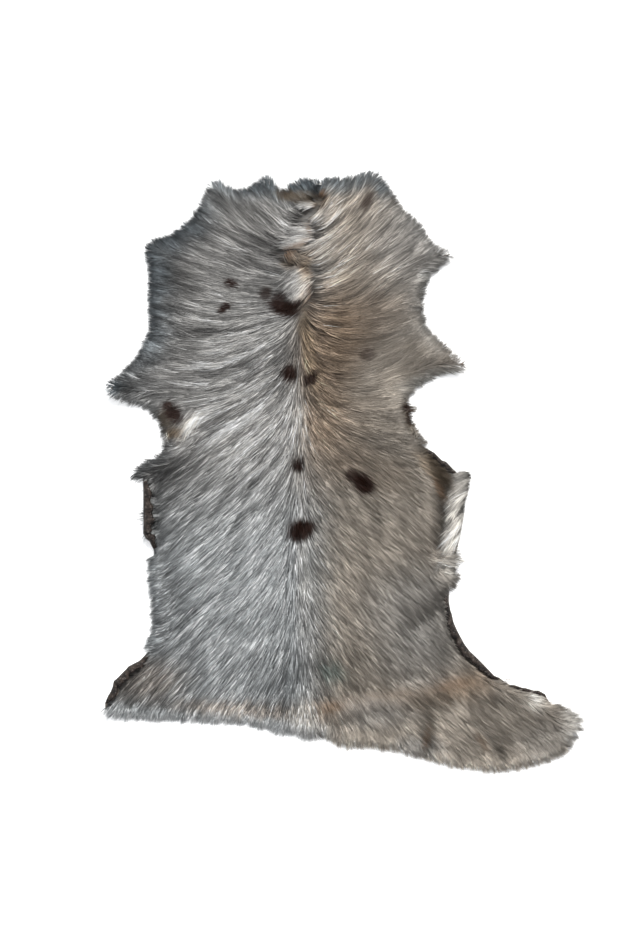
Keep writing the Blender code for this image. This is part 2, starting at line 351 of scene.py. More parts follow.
# olive brown hair; in the trough beside the turned belly edge and the pockets under the notches it is
# painted shade
OLIVE_AND_SHADE_PATCHES = (
    # x, y, long, wide, turn, strength
    (-68, 411, 30, 9, -8, 0.9),      (-92, 414, 12, 8, -60, 0.5),
    (140, 8, 36, 9, -68, 0.85),      (152, -4, 24, 8, -66, 0.85),
    (-266, 80, 12, 16, 0, 0.8),      (101, 80, 9, 26, 14, 0.8),
    (-84, 310, 10, 8, 0, 0.45),
)
PALE_PATCHES = (
    # x, y, long, wide, turn, strength
    (174, -142, 22, 15, 0, 0.8),     (362, -388, 22, 26, 60, 0.6),
    (176, -60, 74, 16, 96, 1.0),     (130, 252, 62, 18, 95, 0.6),
    (150, 140, 55, 14, 12, 0.9),     (118, 118, 26, 18, 10, 0.7),
    (289, -338, 17, 13, 60, 1.0),    (352, -375, 30, 24, 75, 0.9),
    (-60, -366, 26, 20, 80, 0.7),    (-66, 50, 60, 10, 88, 0.35),
    (-60, -160, 90, 9, 90, 0.3),     (-230, 68, 26, 8, 52, 0.9),
)
ASH_PATCHES = (                         # places where the taupe side is nearly as grey as the left one
    # x, y, long, wide, turn, strength
    (112, -205, 74, 62, 0, 0.55),    (112, -280, 60, 44, 0, 0.45),
    (40, -357, 60, 22, 0, 0.55),     (112, -412, 34, 16, 0, 0.6),
    (300, -405, 40, 30, 0, 0.3),     (120, 335, 80, 66, -40, 0.7),
    (180, 280, 60, 20, -50, 0.4),    (112, 230, 60, 34, 0, 0.25),
)
PAINTED_LIGHT_BANDS = (
    # x, y, long, wide, turn, how much brighter, or darker where less than 0, as painted sheen and shade
    (172, -150, 24, 22, 0, 0.5),     (-45, 366, 10, 14, 0, 0.6),
    (-44, 300, 9, 16, 0, 0.5),       (-190, 350, 130, 64, 10, -0.46),
    (-185, 215, 44, 60, 0, -0.16),   (-110, 183, 36, 34, 0, -0.2),
    (-35, 290, 40, 50, 0, 0.22),     (40, 123, 60, 40, 0, 0.28),
    (-35, 175, 24, 40, 0, 0.16),     (-262, 240, 46, 120, 0, -0.42),
    (-100, 300, 50, 50, 0, -0.18),   (-34, 405, 80, 40, 0, -0.14),
    (-35, 363, 44, 30, 0, 0.38),     (40, 303, 50, 40, 0, 0.1),
    (40, 183, 50, 40, 0, -0.03),     (-50, 430, 34, 13, 0, -0.45),
    (60, 255, 150, 180, 0, -0.34),   (20, 335, 80, 50, 20, -0.1),
    (-150, 190, 84, 22, 20, 0.3),    (-211, 141, 70, 14, 14, -0.26),
    (-181, 226, 62, 15, 20, -0.18),  (-218, 321, 44, 24, 0, 0.22),
    (-130, 60, 70, 40, 36, 0.34),    (-185, 6, 36, 30, 0, 0.1),
    (-185, -57, 44, 34, 0, -0.14),   (-35, 3, 30, 30, 0, 0.14),
    (-334, 123, 40, 30, 0, -0.6),    (-262, 90, 40, 30, 0, -0.25),
    (-255, 40, 36, 50, 20, -0.4),    (-262, -20, 30, 60, 90, -0.22),
    (-276, 5, 32, 26, 0, -0.32),     (-300, 6, 26, 18, 20, -0.3),
    (-266, -60, 26, 50, 0, -0.2),    (-262, -150, 34, 110, 0, -0.28),
    (-175, -120, 60, 60, 0, 0.28),   (-110, -170, 44, 100, 0, 0.3),
    (-185, -237, 50, 40, 0, 0.26),   (40, -175, 80, 110, 0, 0.24),
    (118, -205, 60, 60, 0, -0.1),    (-262, -237, 34, 40, 0, -0.16),
    (-250, -357, 60, 24, 0, -0.3),   (-325, -357, 36, 26, 0, -0.28),
    (-262, -300, 50, 40, 0, -0.25),  (-184, -350, 40, 24, 10, 0.12),
    (-110, -345, 44, 24, 0, -0.28),  (-40, -368, 30, 20, 0, 0.2),
    (90, -357, 80, 24, 0, 0.34),     (-330, -310, 34, 34, 40, -0.3),
    (-35, 60, 34, 44, 0, 0.34),      (-40, -117, 30, 50, 0, 0.16),
    (-40, -290, 50, 26, 0, -0.22),   (125, -190, 34, 60, 80, -0.22),
    (70, -310, 160, 9, 7, 0.16),     (60, -332, 150, 9, 7, -0.14),
    (40, -372, 60, 20, -8, 0.38),    (122, -400, 6, 30, 6, -0.5),
    (144, -396, 16, 36, 8, 0.25),    (224, -404, 6, 30, 34, -0.6),
    (190, -357, 26, 30, 20, 0.3),    (205, -412, 18, 34, 24, 0.25),
    (262, -410, 30, 26, 10, 0.05),   (290, -340, 18, 14, 0, 0.5),
    (300, -370, 30, 10, -30, -0.25), (-16, -366, 14, 12, 0, -0.25),
    (132, 22, 34, 10, -50, -0.35),   (158, -20, 9, 24, 4, -0.75),
    (154, -56, 8, 30, -4, -0.75),    (147, -96, 7, 32, -10, -0.35),
    (-226, 66, 26, 9, 52, 0.6),      (20, 20, 60, 60, 0, -0.08),
    (-260, 123, 40, 30, 0, 0.14),    (-262, -357, 50, 24, 0, -0.08),
    (-110, -357, 50, 30, 0, -0.09),  (-150, -297, 90, 26, 0, -0.06),
    (115, -415, 34, 14, 0, -0.22),   (-110, 355, 60, 40, 0, 0.09),
    (-185, 303, 50, 30, 0, 0.13),    (-185, 243, 40, 30, 0, 0.08),
    (270, -262, 30, 12, -55, 0.1),
)
SPOTS = (
    # x, y, long, wide, turn, strength
    (-84, 243, 25, 13, -10, 1.0),    (-98, 256, 16, 9, 40, 0.9),
    (-66, 248, 9, 9, -30, 0.9),      (-116, 266, 9, 11, -20, 0.85),
    (-80, 147, 12, 15, -20, 1.0),    (-50, 137, 12, 9, 20, 0.95),
    (-42, 146, 5, 7, 0, 0.8),        (-6, 142, 9, 7, 0, 0.35),
    (-67, 10, 9, 12, -20, 1.0),      (-42, -30, 6, 11, 30, 0.3),
    (31, -18, 19, 15, -45, 1.0),     (13, -6, 11, 10, -35, 0.9),
    (-61, -84, 22, 14, 5, 1.0),      (-67, -95, 17, 10, 0, 0.95),
    (36, 404, 8, 15, -25, 0.75),     (36, 176, 13, 11, 0, 0.65),
    (46, 262, 18, 11, 40, 0.25),     (-167, 281, 11, 6.5, -10, 1.0),
    (-177, 245, 13, 6, 35, 1.0),     (-254, 88, 14, 12, -30, 0.95),
    (-263, 100, 9, 6, 20, 0.95),     (-246, 78, 8, 7, 30, 0.7),
    (97, 96, 9, 6, 10, 0.95),        (100, 80, 6, 9, 10, 0.8),
)


def ripple(x, y, size, seed):
    """A smooth random height at each place, about -1 to 1, with swells of the given size."""
    random = np.random.default_rng(seed)
    total = np.zeros_like(x)
    for _ in range(14):
        angle = random.uniform(0, 2 * math.pi)
        pitch = 2 * math.pi / size * random.uniform(0.6, 1.7)
        total += np.sin((x * math.cos(angle) + y * math.sin(angle)) * pitch + random.uniform(0, 6.28))
    return total / 4.0


def eased(value, low, high):
    """Goes smoothly from 0 to 1 as the value goes from low to high."""
    share = np.clip((value - low) / (high - low), 0, 1)
    return share * share * (3 - 2 * share)


def blob(x, y, centre_x, centre_y, long, wide, turn, soft):
    """1 inside a turned ellipse, and 0 past its soft edge. Its sizes are in millimetres."""
    turn = math.radians(turn)
    off_x, off_y = x / MM - centre_x, y / MM - centre_y
    along = (off_x * math.cos(turn) + off_y * math.sin(turn)) / long
    across = (off_y * math.cos(turn) - off_x * math.sin(turn)) / wide
    return eased(np.hypot(along, across), 1 + soft, 1 - soft)


def blend(share, first, second):
    return first + share[..., None] * (second - first)


def coat_colour(x, y):
    """The hair's colour at each place on the skin, with its painted sheen and shade, as an array of red,
    green and blue.
    """
    from_rim = inside_by.read(x, y) + 3 * MM * ripple(x, y, 40 * MM, 33)
    in_left_shade = blob(x, y, *LEFT_SHADE_MARGIN, 0, 0.35)
    in_nape_shade = blob(x, y, *NAPE_SHADE_MARGIN, 0, 0.4)
    x = x + 2.5 * MM * ripple(x, y, 22 * MM, 31)
    y = y + 2.5 * MM * ripple(x, y, 22 * MM, 32)
    silver = blend(eased(y, *COOL_FROM), SILVER, COOL_SILVER)
    colour = blend(eased(x, SPINE_X - 12 * MM, SPINE_X + 70 * MM), silver, TAUPE)
    families = ((UMBER_PATCHES, UMBER), (PALE_PATCHES, PALE), (OCHRE_PATCHES, OCHRE),
                (ASH_PATCHES, SILVER))
    for patches, patch_colour in families:
        for *ellipse, strength in patches:
            colour = blend(blob(x, y, *ellipse, PATCH_SOFT) * strength, colour, patch_colour)
    colour = blend(blob(x, y, *STAIN_PATCH, PATCH_SOFT) * 0.6, colour, STAIN)
    # painted light: a slow random swell in brightness, painted light on the rim that faces the rear, and the
    # painted sheen and shade bands
    light = 1 + 0.06 * ripple(x, y, 110 * MM, 34)
    facing_rear = np.clip(-outward_from_rim(x, y)[1], 0, 1) * eased(y, *RUMP_FROM)
    # painted light: brightens the rim that faces the rear, which the lamp leaves in shade
    rear_rim_painted_light = 0.3 * eased(from_rim, 16 * MM, 4 * MM) + 1.2 * eased(from_rim, 5 * MM, 0)
    light = light + facing_rear * rear_rim_painted_light
    for *ellipse, gain in PAINTED_LIGHT_BANDS:
        light = light + blob(x, y, *ellipse, BAND_SOFT) * gain
    colour = colour * np.maximum(light, 0.12)[..., None]
    # painted shade: slate over a wide margin on the left, at the nape and at the foreleg tip, and thin along
    # the rest of the rim
    in_tip_shade = blob(x, y, *FORELEG_TIP_SHADE, 0.5)
    painted_rim_shade = np.maximum.reduce([0.8 * in_left_shade * eased(from_rim, 50 * MM, 4 * MM),
                               0.88 * in_nape_shade * eased(from_rim, 32 * MM, 6 * MM),
                               0.9 * in_tip_shade,
                               0.3 * eased(from_rim, 12 * MM, 0) * (1 - facing_rear)])
    return blend(painted_rim_shade, colour, PAINTED_SLATE_SHADE)


# The tanned hide: one thin sheet, cut to the outline, its flesh side down. It was dried stretched,
# so some edges have shrunk into a small roll that shows the dark, hard flesh side. Where it lifts, the
# hide is painted near black: partly the flesh side's own colour, partly painted shade in and under the roll.
HIDE_THICK = 1.5 * MM
HIDE_NET = 12 * MM                  # the sheet is cut into squares of this size
TIP_INSET = 5 * MM                  # at pointed tips the hide ends this far short of the hair
ROLL_STEPS = 7
ROLL_TURN = math.radians(205)
BARE_EDGES = (
    # name,                 from x, y,   to x,  y,    roll radius, width kept clear of hair in radii
    ("left_flank_roll",     -292,  -118, -309, -14,   12.0, 1.95),
    ("right_stifle_roll",   168,   -182, 240,  -302,  8.0,  1.9),
    ("right_hock_roll",     244,   -306, 318,  -338,  3.5,  1.8),
    ("left_hock_roll",      -358,  -340, -298, -268,  9.0,  2.0),
    ("right_pocket_roll",   126,   44,   186,  -2,    5.5,  2.0),
)
bare_places = []                    # points along the rolled edges, where no coat grows


def as_object(name, bm, *finishes):
    mesh = bpy.data.meshes.new(name)
    bm.to_mesh(mesh)
    bm.free()
    for finish in finishes:
        mesh.materials.append(finish.material)
    return add_object(name, mesh)


def cut_slab():
    """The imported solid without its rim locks: their tips are dissolved back into the wall."""
    bm = packed_copy()
    tips = [v for v in bm.verts
            if any(f.normal.z > 0.3 for f in v.link_faces) and any(f.normal.z < -0.3 for f in v.link_faces)]
    bmesh.ops.dissolve_verts(bm, verts=tips)
    bmesh.ops.triangulate(bm, faces=[f for f in bm.faces if len(f.verts) > 4])
    places = np.array([v.co for v in bm.verts])
    away = inside_by.read(places[:, 0], places[:, 1])
    out_x, out_y = outward_from_rim(places[:, 0], places[:, 1])
    for vert, near, x, y in zip(bm.verts, away, out_x, out_y):
        vert.co -= Vector((x, y, 0)) * max(0.0, TIP_INSET - near)
    return bm


def underside_sheet():
    """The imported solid's underside alone, cut into an even net."""
    bm = cut_slab()
    upper = [f for f in bm.faces if f.normal.z > -0.7]
    bmesh.ops.delete(bm, geom=upper, context="FACES")
    low, high = cad_box
    for axis in (0, 1):
        normal = Vector((1 - axis, axis, 0))
        for k in range(1, int((high[axis] - low[axis]) / HIDE_NET)):
            cut = normal * (low[axis] + k * HIDE_NET)
            bmesh.ops.bisect_plane(bm, geom=bm.verts[:] + bm.edges[:] + bm.faces[:],
                                   plane_co=cut, plane_no=normal, dist=1e-6)
    bm.normal_update()
    bmesh.ops.reverse_faces(bm, faces=[f for f in bm.faces if f.normal.z > 0])
    return bm


def rim_loop(bm):
    """The sheet's rim vertices in order, with their outward directions."""
    edge = next(e for e in bm.edges if e.is_boundary)
    loop = [edge.verts[0], edge.verts[1]]
    while True:
        onward = [e.other_vert(loop[-1]) for e in loop[-1].link_edges
                  if e.is_boundary and e.other_vert(loop[-1]) is not loop[-2]]
        if onward[0] is loop[0]:
            break
        loop.append(onward[0])
    area = sum(a.co.x * b.co.y - b.co.x * a.co.y for a, b in zip(loop, loop[1:] + loop[:1]))
    if area > 0:
        loop.reverse()
    outward = []
    for i in range(len(loop)):
        along = loop[(i + 2) % len(loop)].co - loop[i - 2].co
        outward.append(Vector((-along.y, along.x, 0)).normalized())
    return loop, outward


def roll_edges(bm):
    """Curls the bare edges up and over: each rim vertex is drawn back, then out along an arc."""
    loop, outward = rim_loop(bm)
    for name, x1, y1, x2, y2, radius, clear in BARE_EDGES:
        ends = []
        for x, y in ((x1, y1), (x2, y2)):
            target = Vector((x * MM, y * MM))
            ends.append(min(range(len(loop)), key=lambda i: (loop[i].co.xy - target).length))
        span = (ends[1] - ends[0]) % len(loop)
        if span > len(loop) / 2:
            ends.reverse()
            span = len(loop) - span
        picked = [(ends[0] + k) % len(loop) for k in range(span + 1)]
        outs = {}
        for k, i in enumerate(picked):
            swell = 0.35 + 0.65 * max(0.0, math.sin(math.pi * k / span)) ** 0.5
            wobble = 1 + 0.16 * math.sin(k * 1.7 + x1) + 0.1 * math.sin(k * 0.73)
            outs[loop[i]] = (loop[i].co.copy(), outward[i], radius * MM * swell * wobble)
            bare_places.append((loop[i].co.x, loop[i].co.y, clear * radius * MM * swell))
        in_the_way = [v for v in bm.verts if not v.is_boundary
                      and any((v.co - rim).length < 1.25 * r + 2 * MM for rim, out, r in outs.values())]
        bmesh.ops.dissolve_verts(bm, verts=in_the_way)
        chain = [loop[i] for i in picked]
        for vert in chain:
            rim, out, r = outs[vert]
            vert.co = rim - out * r
        bm.normal_update()
        bmesh.ops.triangulate(bm, faces=[f for f in bm.faces if len(f.verts) > 4])
        for step in range(1, ROLL_STEPS + 1):
            angle = ROLL_TURN * step / ROLL_STEPS
            edges = [e for a, b in zip(chain, chain[1:]) for e in [bm.edges.get((a, b))] if e]
            made = bmesh.ops.extrude_edge_only(bm, edges=edges)["geom"]
            fresh = [v for v in made if isinstance(v, bmesh.types.BMVert)]
            following = {}
            for vert in fresh:
                old = min(chain, key=lambda c: (c.co - vert.co).length_squared)
                following[old] = vert
            for old, vert in following.items():
                rim, out, r = outs[old]
                shrink = 1 - 0.25 * step / ROLL_STEPS
                vert.co = rim - out * r + out * r * shrink * math.sin(angle)
                vert.co.z = rim.z + r * shrink * (1 - math.cos(angle))
                outs[vert] = outs[old]
            chain = [following[c] for c in chain]


def hide_finish():
    finish = Finish("tanned_hide", 0.85)
    finish.shader.inputs["Specular IOR Level"].default_value = 0.2
    place = finish.place()
    nap = finish.noise(place, 900.0, 3.0)
    grain = finish.noise(place, 160.0, 4.0)
    cloud = finish.noise(place, 14.0, 3.0)
    speck = finish.noise(place, 420.0, 2.0).between(0.58, 0.7)
    suede = finish.mix(cloud.between(0.35, 0.65), (0.36, 0.31, 0.26, 1), (0.25, 0.21, 0.175, 1))
    dry_and_shaded = finish.attribute("dried_and_shaded")
    # painted near black where the hide lifts: partly the flesh side's colour, partly painted shade in and
    # under the roll
    dark = finish.mix(grain.between(0.35, 0.6), (0.005, 0.004, 0.004, 1), (0.020, 0.014, 0.011, 1))
    dark = finish.mix(speck * 0.35, dark, (0.24, 0.21, 0.19, 1))
    colour = finish.mix(dry_and_shaded, suede, dark)
    height = nap * 0.5 + grain
    bump = finish.node("ShaderNodeBump", {}, {"Strength": 0.5, "Distance": 0.6 * MM, "Height": height})
    finish.paint(Base_Color=colour, Normal=bump, Roughness=grain.between(0.3, 0.7, 0.9, 0.68))
    return finish


def make_hide():
    bm = underside_sheet()
    roll_edges(bm)
    flat_area = sum(f.calc_area() for f in bm.faces)
    hide = as_object("tanned_hide", bm, hide_finish())
    dried_and_shaded = hide.data.attributes.new("dried_and_shaded", "FLOAT", "POINT")
    low = hide_under.read(*np.array([v.co.xy for v in hide.data.vertices]).T)
    for vert, floor, mark in zip(hide.data.vertices, low, dried_and_shaded.data):
        mark.value = min(1.0, max(0.0, (vert.co.z - floor) / (2 * MM)))
    solid = hide.modifiers.new("thickness", "SOLIDIFY")
    solid.thickness = HIDE_THICK
    solid.offset = -1
    thick = bpy.data.meshes.new_from_object(hide.evaluated_get(bpy.context.evaluated_depsgraph_get()))
    hide.modifiers.clear()
    hide.data = thick
    hide.data.shade_smooth()
    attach(hide, "root")


make_hide()


# The undercoat: short dense wool that fills the coat from the hide up, painted darker than the guard
# hair as shade, because little light reaches it. It is one felted body that follows every fold of the coat.
UNDER_DROP = 4.6 * MM               # the guard hair lies this deep over the undercoat
SPINE_LINE = (
    # y,   x of the backbone, and of the winding parting in the neck
    (-450, -60), (-200, -68), (0, -65), (150, -66), (213, -65), (258, -58), (288, -50), (302, -56),
    (318, -82), (330, -84), (346, -56), (356, -49), (372, -56), (390, -44), (404, -32), (420, -34),
    (450, -30),
)
FLOW = (
    # y,   degrees above the outward side, left 0, 30, 90, 180 mm off the backbone, then right the same
    (-400, -88, -70, -60, -52, -88, -70, -56, -38),
    (-290, -88, -66, -52, -45, -88, -60, -50, -44),
    (-180, -88, -60, -45, -41, -88, -55, -46, -45),
    (-65,  -88, -58, -42, -40, -88, -54, -40, -42),
    (10,   -88, -50, -43, -36, -88, -46, -34, -30),
    (48,   -88, -52, -36, -36, -88, -49, -27, -10),
    (85,   -88, -48, -32, -10, -88, -44, -12, 12),
    (123,  -88, -42, -26, 6,   -88, -40, 0,   33),
    (160,  -88, -40, -24, 8,   -88, -40, 14,  33),
    (198,  -85, -38, -20, 13,  -85, -30, -2,  34),
    (235,  -60, -5,  -8,  18,  -60, -14, 16,  19),
    (273,  -35, -5,  8,   15,  -5,  18,  36,  28),
    (310,  -10, 15,  16,  17,  -5,  26,  37,  27),
    (348,  -12, 25,  28,  17,  0,   32,  45,  35),
    (385,  10,  40,  50,  30,  15,  45,  48,  41),
    (423,  40,  50,  45,  38,  70,  60,  44,  41),
)
FLOW_STEPS = (0, 30, 90, 180)


def off_backbone(x, y):
    line_y, line_x = np.array(SPINE_LINE).T
    return x - np.interp(y, line_y * MM, line_x * MM)


def hair_direction(x, y, side):
    """The way the hair of one side, -1 left or 1 right, points at each place, as two arrays."""
    rows = np.array(FLOW, float)
    first = 1 if side < 0 else 5
    columns = np.stack([np.interp(y, rows[:, 0] * MM, rows[:, first + k]) for k in range(4)])
    reach = np.clip(side * off_backbone(x, y) / MM, 0, FLOW_STEPS[-1])
    angle = np.zeros_like(x)
    for k in range(3):
        share = (reach - FLOW_STEPS[k]) / (FLOW_STEPS[k + 1] - FLOW_STEPS[k])
        here = (share >= 0) & (share <= 1)
        angle = np.where(here, columns[k] * (1 - share) + columns[k + 1] * share, angle)
    angle = np.radians(angle)
    return side * np.cos(angle), np.sin(angle)


def colour_points(mesh, name, colours):
    """Keeps a colour for each point of the mesh, for its material to read."""
    with_alpha = np.concatenate([colours, np.ones((len(colours), 1))], axis=1)
    mesh.attributes.new(name, "FLOAT_COLOR", "POINT").data.foreach_set("color", with_alpha.ravel())


def off_bare_edges(x, y):
    """How far each place is from the rolled edges, past the width that is bare."""
    clear = np.full(x.shape, 1.0)
    for bare_x, bare_y, width in bare_places:
        clear = np.minimum(clear, np.hypot(x - bare_x, y - bare_y) - width)
    return clear


def undercoat_finish():
    finish = Finish("undercoat_wool", 0.95)
    place = finish.place()
    left = finish.noise(place, 60.0, 3.0, (1, 6, 1), math.radians(-42))
    right = finish.noise(place, 60.0, 3.0, (1, 6, 1), math.radians(42))
    across = finish.node("ShaderNodeSeparateXYZ", {}, {"Vector": place}, "X")
    combed = finish.mix(across.between(SPINE_X - 10 * MM, SPINE_X + 10 * MM), left, right)
    combed = finish.node("ShaderNodeSeparateColor", {}, {"Color": combed}, "Red")
    # painted shade: the coat's colour darkened to 0.16 to 0.42 of itself, most in the combed furrows
    colour = finish.shaded(finish.attribute("coat", "Color"), combed.between(0.3, 0.7, 0.16, 0.42))
    bump = finish.node("ShaderNodeBump", {}, {"Strength": 0.8, "Distance": 2 * MM, "Height": combed})
    finish.paint(Base_Color=colour, Normal=bump)
    return finish


def make_undercoat():
    bm = cut_slab()
    bmesh.ops.subdivide_edges(bm, edges=bm.edges[:], cuts=1, use_grid_fill=True)
    places = np.array([v.co for v in bm.verts])
    floor = hide_under.read(places[:, 0], places[:, 1]) + HIDE_THICK + 0.3 * MM
    facing_down = [v.normal.z < -0.3 for v in bm.verts]
    haired = eased(off_bare_edges(places[:, 0], places[:, 1]), -2 * MM, 7 * MM)
    for vert, low, down, share in zip(bm.verts, floor, facing_down, haired):
        high = max(vert.co.z - UNDER_DROP, low + 0.7 * MM)
        vert.co.z = low if down else low + 0.7 * MM + (high - low - 0.7 * MM) * share
    undercoat = as_object("undercoat", bm, undercoat_finish())
    colour_points(undercoat.data, "coat", coat_colour(places[:, 0], places[:, 1]))
    undercoat.data.shade_smooth()
    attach(undercoat, "root")
    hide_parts("sheepskin")


make_undercoat()


# The guard hair: the lying coat that gives the skin its colour and its sheen. Each hair is a thin
# closed spike that rises out of the undercoat and lies back along the flow of the coat.
HAIR_BREAKS = (0.0, 0.45, 1.0)      # shares of a hair's length at its root, bend and tip
HAIR_WIDTHS = (0.0, 1.0, 0.0)       # shares of its full width at the same breaks
ROOT_TO_TIP = (0.5, 1.0, 1.08)      # how bright the hair is at its root, middle and tip
HAIR_WIDTH = 0.8 * MM
BRIGHTEST = 0.72
STRAY = 2.3 * MM                    # how far a hair carries the edge of a dark spot
HAIR_LENGTH = 54 * MM
TOP_HAIRS = 0.07                    # share of the hairs that are longer and lie over the others
CONTRAST = (1.22, 0.42)             # how unevenly bright the hairs are, on the left and on the right
OF_HAIR, OF_LOCK, OF_STRAND = 0.36, 0.34, 0.50      # what each hair, lock and strand adds to that
DARKENED = 0.28                     # takes off what the many bright hairs on top would add
NECK_FROM = (200 * MM, 280 * MM)    # between these heights the skin becomes the neck
HAIR_STEPS = 9                      # short steps in which a hair's path is followed
HAIR_GAP = 1.66 * MM                # distance between roots
TRACE_STEPS = 110                   # steps in which a line of hair is followed back to the backbone
RIM_SPLAY = 22 * MM                 # over this width the hair turns out towards the cut edge
PAST_RIM = 5 * MM                   # the most that a tip passes the outline
PARTING_BLUR = 3 * MM               # how far the two sides mix at the parting
TIPS = ((191, 156), (174, 323), (-354, 125), (-308, -4), (362, -376), (-362, -351))
TIP_REACH = 34                      # round these pointed tips, in mm, the hair passes the outline
PAST_TIP = 7 * MM                   # by up to this much more
LIP_TOP, LIP_END = (184, -4), (166, -128)       # the turned belly edge, which has its own hair
LIP_WIDTH = 22 * MM
COAT_PARTS = (
    # name,                 from y, to y, side
    ("neck_hair_left",      225,  480,  -1),
    ("neck_hair_right",     225,  480,  1),
    ("shoulder_hair_left",  50,   225,  -1),
    ("shoulder_hair_right", 50,   225,  1),
    ("flank_hair_left",     -170, 50,   -1),
    ("flank_hair_right",    -170, 50,   1),
    ("rump_hair_left",      -480, -170, -1),
    ("rump_hair_right",     -480, -170, 1),
)


def trace_back():
    """For each place, the height on the backbone where its line of hair starts, as one map a side."""
    maps = []
    for side in (-1, 1):
        source = HeightMap(*map_corners, MAP_STEP)
        x, y = np.meshgrid(source.low[0] + np.arange(source.wide) * MAP_STEP,
                           source.low[1] + np.arange(source.deep) * MAP_STEP)
        line_y, line_x = np.array(SPINE_LINE).T * MM
        spine = np.interp(y, line_y, line_x)
        x = spine + side * np.maximum(side * (x - spine), MM)
        for _ in range(TRACE_STEPS):
            run_x, run_y = hair_direction(x, y, side)
            moving = side * off_backbone(x, y) > 2 * MM
            x = x - np.where(moving, run_x * MAP_STEP, 0)
            y = y - np.where(moving, run_y * MAP_STEP, 0)
        source.values = y
        maps.append(source)
    return maps


streak_left, streak_right = trace_back()


def streaks(x, y, side, size, stretch, seed):
    """A ripple as wide as the given size, and drawn out so many times along the lines of hair."""
    away = off_backbone(x, y)
    source = streak_left.read(x, y) if side < 0 else streak_right.read(x, y) + 2.0
    return ripple(np.hypot(away, y) / stretch, source, size, seed)


def hair_template(breaks):
    """One straight hair: three-sided rows, one at each break, drawn to a point at root and tip."""
    bm = bmesh.new()
    bmesh.ops.create_circle(bm, cap_ends=True, radius=1.0, segments=3)
    root = list(bm.verts)
    cap = next(iter(bm.faces))
    for row in range(1, breaks):
        made = bmesh.ops.extrude_face_region(bm, geom=[cap])["geom"]
        if row > 1:
            bmesh.ops.delete(bm, geom=[cap], context="FACES_ONLY")
        fresh = [v for v in made if isinstance(v, bmesh.types.BMVert)]
        bmesh.ops.translate(bm, verts=fresh, vec=(0, 0, 1))
        cap = next(f for f in made if isinstance(f, bmesh.types.BMFace) and all(v in fresh for v in f.verts))
    bmesh.ops.pointmerge(bm, verts=fresh, merge_co=(0, 0, breaks - 1))
    bmesh.ops.pointmerge(bm, verts=root, merge_co=(0, 0, 0))
    bmesh.ops.recalc_face_normals(bm, faces=bm.faces)
    bm.verts.index_update()
    return bm


def flat_layout(bm, rows):
    """For each corner of the template's faces, its place on a flat layout of the three sides."""
    layout = []
    for face in bm.faces:
        corners = [round(math.atan2(v.co.y, v.co.x) / (2 * math.pi / 3)) % 3 for v in face.verts]
        on_side = {c for c, v in zip(corners, face.verts) if v.co.xy.length > 0.5}
        first = 2 if on_side == {0, 2} else min(on_side)
        for c, v in zip(corners, face.verts):
            turn = 0.5 if v.co.xy.length < 0.5 else float(c != first)
            layout.append(((first + turn) / 3, v.co.z / (rows - 1)))
    return np.array(layout)


def follow_coat(x, y, side, length, turn, curl):
    """The path of each hair over the skin, as arrays of x and y with a row for each short step."""
    path_x, path_y = [x], [y]
    for step in range(HAIR_STEPS):
        run_x, run_y = hair_direction(x, y, side)
        out_x, out_y = outward_from_rim(x, y)
        splay = 1.1 * np.clip(1 - inside_by.read(x, y) / RIM_SPLAY, 0, 1)
        run_x, run_y = run_x + splay * out_x, run_y + splay * out_y
        angle = np.arctan2(run_y, run_x) + turn + curl * (step / HAIR_STEPS - 0.3)
        x = x + np.cos(angle) * length / HAIR_STEPS
        y = y + np.sin(angle) * length / HAIR_STEPS
        path_x.append(x)
        path_y.append(y)
    return np.array(path_x), np.array(path_y)


def cut_at_rim(path_x, path_y, random):
    """The share of each path that keeps its tip near the outline and off the bare edges."""
    allowed = random.uniform(-1 * MM, PAST_RIM, path_x.shape[1])
    for x, y in TIPS:
        off_tip = np.hypot(path_x[-1] / MM - x, path_y[-1] / MM - y)
        allowed = allowed + PAST_TIP * eased(off_tip, TIP_REACH, 0.3 * TIP_REACH)
    over_bare = random.uniform(-2 * MM, 1.5 * MM, path_x.shape[1])
    outside = -inside_by.read(path_x, path_y) > allowed
    outside |= -off_bare_edges(path_x, path_y) > over_bare
    outside[-1] = True
    return np.maximum(outside.argmax(axis=0) / HAIR_STEPS, 0.2)


def at_shares(path, shares):
    """The place on each path at its own share of the steps."""
    steps = np.clip(shares * HAIR_STEPS, 0, HAIR_STEPS - 0.001)
    low = steps.astype(int)
    part = steps - low
    hair = np.arange(path.shape[1])
    return path[low, hair] * (1 - part) + path[low + 1, hair] * part


